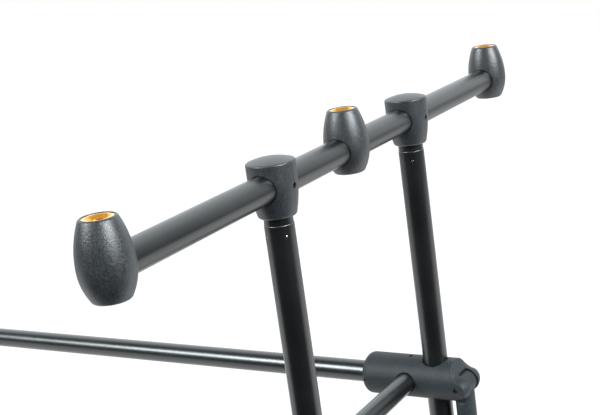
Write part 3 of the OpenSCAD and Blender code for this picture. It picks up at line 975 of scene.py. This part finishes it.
class POD_OT_tees(PodOperator):
    """Make the tees that carry the buzz bars"""

    bl_idname = "pod.tees"
    bl_label = "Tees"

    SEAM_REACH = 1.1  # how far down the seam runs, for the tee's drop

    def body(self, node, end, inset=0.0):
        """A tee about the Z axis, at its height above the ground. inset thins it all round."""
        s = shape()
        low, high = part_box(node)
        bar = middle(f"{end}_buzz_bar").z
        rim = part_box(f"{end}_left_upright")[1].z
        foot, shoulder, crown = bar - s.tee_drop, bar + s.tee_shoulder, bar + s.tee_rim
        r = (high.y - low.y) / 2 - inset
        base = s.tee_bottom - inset
        spigot = size(f"{end}_left_upright").x / 2 - s.tube_wall - s.rim_bevel
        draw, drop = r - base, shoulder - foot
        flank = (draw * draw + drop * drop) / (2 * draw)
        dome = high.z - crown
        ball = (r * r + dome * dome) / (2 * dome)
        out = Outline(0, low.z)
        out.line(spigot, low.z)
        out.line(spigot, rim)
        out.line(s.tee_neck, rim)
        out.line(s.tee_neck, foot)
        out.line(base, foot)
        out.arc(r - flank, shoulder, -math.asin(drop / flank), 16)
        out.line(r, crown)
        out.arc(0, high.z - ball, -math.asin(r / ball), 14)
        bm = out.spin(LATHE_SIDES)
        if not inset:
            for face in bm.faces:
                face.material_index = int(rim < face.calc_center_median().z < foot)
            round_edges(bm, ring_edges(bm, r, crown), s.tee_edge, 4)
            round_edges(bm, ring_edges(bm, base, foot), s.tee_foot_edge, 5)
        return bm

    def seam_cutter(self, node, end, way):
        """What a mould's parting line takes off one side of a tee."""
        s = shape()
        bar = middle(f"{end}_buzz_bar").z
        start = size(f"{end}_{node.split('_')[1]}_upright").x / 2
        reach = size(node).x / 2
        low, high = bar - self.SEAM_REACH * s.tee_drop, bar + s.tee_rim - s.tee_edge
        slab = bmesh.new()
        place = Matrix.Translation((way * (start + reach) / 2, 0, (low + high) / 2))
        spans = Matrix.Diagonal((reach - start + s.tee_edge, s.seam, high - low, 1))
        bmesh.ops.create_cube(slab, size=1.0, matrix=place @ spans)
        return carve(slab, [self.body(node, end, s.seam)])

    def build(self):
        s = shape()
        for end in ENDS:
            bar = middle(f"{end}_buzz_bar")
            bore = size(f"{end}_buzz_bar").x / 2 + s.seat_gap
            for side in SIDES:
                node = f"{end}_{side}_tee"
                centre = middle(node)
                seams = [self.seam_cutter(node, end, way) for way in (1, -1)]
                bm = carve(self.body(node, end), seams)
                bmesh.ops.translate(bm, verts=bm.verts, vec=(centre.x, centre.y, 0))
                width = 2 * size(node).y
                start = Vector((bar.x, centre.y - width / 2, bar.z))
                grub = facing((bar.x, centre.y, bar.z), (OUTWARD[end], 0, 0))
                cutters = [
                    rod(bore, width, facing(start, (0, 1, 0)), RING_SIDES),
                    rod(s.grub_hole, width, grub, HOLE_SIDES),
                ]
                looks = finish_named("moulded_plastic"), finish_named("anodised_z")
                weigh(dress(node, carve(bm, cutters), *looks))


class POD_OT_mouldings(PodOperator):
    """Make the hubs, leg knuckles and twist collars"""

    bl_idname = "pod.mouldings"
    bl_label = "Hubs, knuckles and collars"

    def build(self):
        look = finish_named("textured_plastic")
        for end in ENDS:
            for side in SIDES:
                for part in ("hub", "leg_knuckle", "leg_collar"):
                    soften(f"{end}_{side}_{part}", look)
        for side in SIDES:
            soften(f"{side}_rail_collar", look)


class POD_OT_ends(PodOperator):
    """Make the rubber feet and the caps under the uprights"""

    bl_idname = "pod.ends"
    bl_label = "Feet and caps"

    # a groove's outline: shares of the grooves' pitch, and of their depth
    GROOVE = ((-0.25, 0.0), (-0.12, 1.0), (0.12, 1.0), (0.25, 0.0))

    def foot(self, node, socket_node):
        """A foot about the Z axis, with its grip grooves and the socket of its tube."""
        s = shape()
        low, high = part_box(node)
        r = (high.x - low.x) / 2
        bore = size(socket_node).x / 2
        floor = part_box(socket_node)[0].z
        out = Outline(0, low.z)
        out.line(r - s.foot_round, low.z)
        out.arc(r - s.foot_round, low.z + s.foot_round, -math.pi / 2, 6)
        start = low.z + s.foot_round
        taper = (s.foot_top - r) / (high.z - start)
        pitch = (high.z - start) / (s.foot_grooves + 2)
        for i in range(1, s.foot_grooves + 1):
            for step, cut in self.GROOVE:
                rise = (i + step) * pitch
                out.line(r + taper * rise - cut * s.groove_depth, start + rise)
        out.line(s.foot_top, high.z)
        out.line(bore, high.z)
        out.line(bore, floor)
        out.line(0, floor)
        bm = out.spin(END_SIDES)
        round_edges(bm, ring_edges(bm, s.foot_top, high.z), s.foot_edge, 3)
        return bm

    def cap(self, node, r, bore, rim):
        """A cap about the Z axis: a round-edged disc under the tube and its plug."""
        low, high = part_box(node)
        out = Outline(0, low.z)
        out.line(r, low.z)
        out.line(r, rim)
        out.line(bore, rim)
        out.line(bore, high.z)
        out.line(0, high.z)
        bm = out.spin(END_SIDES)
        round_edges(bm, ring_edges(bm, r, low.z), shape().cap_edge, 4)
        return bm

    def build(self):
        s = shape()
        rubber = finish_named("moulded_rubber")
        for end in ENDS:
            for side in SIDES:
                node = f"{end}_{side}_foot"
                bm = self.foot(node, f"{end}_{side}_leg_extension")
                bmesh.ops.translate(bm, verts=bm.verts, vec=(*middle(node).xy, 0))
                dress(node, bm, rubber)
            caps = bmesh.new()
            for side in SIDES:
                upright = f"{end}_{side}_upright"
                r = size(upright).x / 2
                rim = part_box(upright)[0].z
                bm = self.cap(f"{end}_upright_caps", r, r - s.tube_wall - s.rim_bevel, rim)
                bmesh.ops.translate(bm, verts=bm.verts, vec=(*middle(upright).xy, 0))
                gather(caps, bm)
            dress(f"{end}_upright_caps", caps, finish_named("moulded_plastic"))


class POD_OT_fasteners(PodOperator):
    """Finish the rivets, grub screws and pivot pins"""

    bl_idname = "pod.fasteners"
    bl_label = "Fasteners"

    def rivet(self, r, start, end):
        """A rivet along the Z axis with a domed head."""
        dome = shape().rivet_dome
        ball = (r * r + dome * dome) / (2 * dome)
        out = Outline(0, start)
        out.line(r, start)
        out.line(r, end - dome)
        out.arc(0, end - ball, -math.asin(r / ball), 8)
        return out.spin(RIVET_SIDES)

    def rivets(self, end):
        node = f"{end}_tee_rivets"
        r = size(node).z / 2
        whole = bmesh.new()
        for side in SIDES:
            upright = f"{end}_{side}_upright"
            axis = middle(upright)
            outer = size(upright).x / 2
            for x, y in rivet_ways(end, upright):
                bm = self.rivet(r, outer / 2, outer - shape().rivet_sink)
                place = facing((axis.x, axis.y, middle(node).z), (x, y, 0))
                bmesh.ops.transform(bm, matrix=place, verts=bm.verts)
                gather(whole, bm)
        dress(node, whole, finish_named("rivet_steel"))

    def build(self):
        for end in ENDS:
            self.rivets(end)
            for part in ("bar_screws", "hub_screws", "pivot_pins"):
                slots = NODES[f"{end}_{part}"].data.materials
                slots.clear()
                slots.append(finish_named("fastener_steel"))


class POD_OT_stage(PodOperator):
    """Set the floor, the light and the camera"""

    bl_idname = "pod.stage"
    bl_label = "Studio"

    SENSOR = 36.0  # mm
    FAR = 100.0  # m

    def camera(self, studio):
        data = bpy.data.cameras.new("camera")
        data.lens = studio.lens
        data.sensor_width = self.SENSOR
        data.clip_end = self.FAR
        camera = bpy.data.objects.new("camera", data)
        bpy.context.scene.collection.objects.link(camera)
        turn = (
            Matrix.Rotation(studio.yaw, 4, "Z")
            @ Matrix.Rotation(math.pi / 2 - studio.pitch, 4, "X")
            @ Matrix.Rotation(studio.roll, 4, "Z")
        )
        camera.matrix_world = Matrix.Translation(studio.camera_at) @ turn
        bpy.context.scene.camera = camera

    def soft_light(self, name, way, level, spread):
        """A wide, soft light from one direction."""
        data = bpy.data.lights.new(name, "SUN")
        data.energy = level
        data.color = bpy.context.scene.pod_studio.light_tint
        data.angle = spread
        lamp = bpy.data.objects.new(name, data)
        bpy.context.scene.collection.objects.link(lamp)
        lamp.matrix_world = facing(way, way)

    def seen(self, tree, first, *others):
        """One for the named kinds of ray, and nothing for the others."""
        path = tree.nodes.new("ShaderNodeLightPath")
        total = path.outputs[first]
        for ray in others:
            add = tree.nodes.new("ShaderNodeMath")
            add.operation = "MAXIMUM"
            tree.links.new(total, add.inputs[0])
            tree.links.new(path.outputs[ray], add.inputs[1])
            total = add.outputs[0]
        return total

    def along(self, tree, vector, way):
        """How far a vector reaches in a direction."""
        node = tree.nodes.new("ShaderNodeVectorMath")
        node.operation = "DOT_PRODUCT"
        node.inputs[1].default_value = way
        tree.links.new(vector, node.inputs[0])
        return node.outputs["Value"]

    def eased(self, tree, value, stretch, low, high):
        """Goes smoothly from low to high over a stretch of a value."""
        node = tree.nodes.new("ShaderNodeMapRange")
        node.interpolation_type = "SMOOTHSTEP"
        start, end = stretch
        ends = {"From Min": start, "From Max": end, "To Min": low, "To Max": high}
        for name, number in ends.items():
            node.inputs[name].default_value = number
        tree.links.new(value, node.inputs["Value"])
        return node.outputs["Result"]

    def glowing(self, tree, strength):
        node = tree.nodes.new("ShaderNodeEmission")
        tree.links.new(strength, node.inputs["Strength"])
        return node.outputs[0]

    def either(self, tree, factor, first, second):
        """One shader where a factor is nothing, and another where it is one."""
        node = tree.nodes.new("ShaderNodeMixShader")
        for i, source in enumerate((factor, first, second)):
            tree.links.new(source, node.inputs[i])
        return node.outputs[0]

    def room(self, studio):
        """A white world for the camera, and a bright backdrop in a dim room for the pod."""
        world = bpy.data.worlds.new("room")
        world.use_nodes = True
        tree = world.node_tree
        way = tree.nodes.new("ShaderNodeTexCoord").outputs["Generated"]
        level = self.eased(
            tree, self.along(tree, way, studio.backdrop_way), studio.backdrop_edge,
            studio.room_level, studio.backdrop_level,
        )
        dusk = self.eased(
            tree, self.along(tree, way, (0, 0, 1)), studio.backdrop_rise, studio.backdrop_foot, 1.0
        )
        shaded = tree.nodes.new("ShaderNodeMath")
        shaded.operation = "MULTIPLY"
        tree.links.new(level, shaded.inputs[0])
        tree.links.new(dusk, shaded.inputs[1])
        light = tree.nodes["Background"]
        light.inputs["Color"].default_value = (*studio.light_tint, 1)
        tree.links.new(shaded.outputs[0], light.inputs["Strength"])
        white = tree.nodes.new("ShaderNodeBackground")
        white.inputs["Color"].default_value = (1, 1, 1, 1)
        white.inputs["Strength"].default_value = 1.0
        camera = self.seen(tree, "Is Camera Ray", "Is Transmission Ray")
        sky = self.either(tree, camera, light.outputs[0], white.outputs[0])
        tree.links.new(sky, tree.nodes["World Output"].inputs["Surface"])
        bpy.context.scene.world = world

    def floor_square(self, studio, name, near):
        """A square of the floor that starts at a line and runs away from the camera."""
        bm = bmesh.new()
        half = studio.floor_side / 2
        turn = Vector(studio.backdrop_way).to_track_quat("Y", "Z").to_matrix().to_4x4()
        place = turn @ Matrix.Translation((0, near + half, 0))
        bmesh.ops.create_grid(bm, x_segments=1, y_segments=1, size=half, matrix=place)
        square = loose_object(bm, name)
        return square

    def white_floor(self, studio):
        """White with shadows for the camera, even light for reflections, and clear from below."""
        s = Shader("white_floor")
        tree = s.tree
        s.set(Base_Color=(*[studio.floor_paint] * 3, 1), Roughness=0.9, Specular_IOR_Level=0.0)
        camera = self.seen(tree, "Is Camera Ray", "Is Transmission Ray")
        white = tree.nodes.new("ShaderNodeAddShader")
        tree.links.new(s.surface.outputs[0], white.inputs[0])
        tree.links.new(self.glowing(tree, s.spread(camera, 0.0, studio.floor_glow)), white.inputs[1])
        behind = self.along(tree, s.place, studio.backdrop_way)
        fade = self.eased(tree, behind, studio.floor_fade, studio.floor_shine, studio.floor_far)
        glossy = self.seen(tree, "Is Glossy Ray")
        above = self.either(tree, glossy, white.outputs[0], self.glowing(tree, fade))
        below = tree.nodes.new("ShaderNodeNewGeometry").outputs["Backfacing"]
        clear = tree.nodes.new("ShaderNodeBsdfTransparent").outputs[0]
        floor = self.either(tree, below, above, clear)
        tree.links.new(floor, tree.nodes["Material Output"].inputs["Surface"])
        return s.material

    def floor(self, studio):
        """The floor round the pod, and an apron before it that only the camera sees."""
        floor = self.floor_square(studio, "floor", -studio.floor_ahead)
        apron = self.floor_square(studio, "apron", -studio.floor_ahead - studio.floor_side)
        apron.visible_diffuse = apron.visible_glossy = apron.visible_shadow = False
        material = self.white_floor(studio)
        for square in (floor, apron):
            square.data.materials.append(material)

    def build(self):
        studio = bpy.context.scene.pod_studio
        bpy.context.scene.view_settings.view_transform = "Standard"
        self.camera(studio)
        self.room(studio)
        self.floor(studio)
        self.soft_light("left_light", studio.left_way, studio.left_level, studio.left_spread)
        self.soft_light("right_light", studio.right_way, studio.right_level, studio.right_spread)


class POD_PT_panel(bpy.types.Panel):
    """The pod's steps, in order"""

    bl_idname = "POD_PT_panel"
    bl_label = "Rod Pod"
    bl_space_type = "VIEW_3D"
    bl_region_type = "UI"
    bl_category = "Rod Pod"

    def draw(self, context):
        for step in STEPS:
            self.layout.operator(step.bl_idname)


GROUPS = {"pod_shape": PodShape, "pod_finish": PodFinish, "pod_studio": PodStudio}
STEPS = (
    POD_OT_stage,
    POD_OT_tubes,
    POD_OT_uprights,
    POD_OT_heads,
    POD_OT_inserts,
    POD_OT_tees,
    POD_OT_mouldings,
    POD_OT_ends,
    POD_OT_fasteners,
)


def register():
    for cls in (*GROUPS.values(), *STEPS, POD_PT_panel):
        bpy.utils.register_class(cls)
    for name, group in GROUPS.items():
        setattr(bpy.types.Scene, name, PointerProperty(type=group))


def unregister():
    for name in GROUPS:
        delattr(bpy.types.Scene, name)
    for cls in reversed((*GROUPS.values(), *STEPS, POD_PT_panel)):
        bpy.utils.unregister_class(cls)


def main():
    register()
    for step in STEPS:
        group, operation = step.bl_idname.split(".")
        getattr(getattr(bpy.ops, group), operation)()


if __name__ == "__main__":
    main()
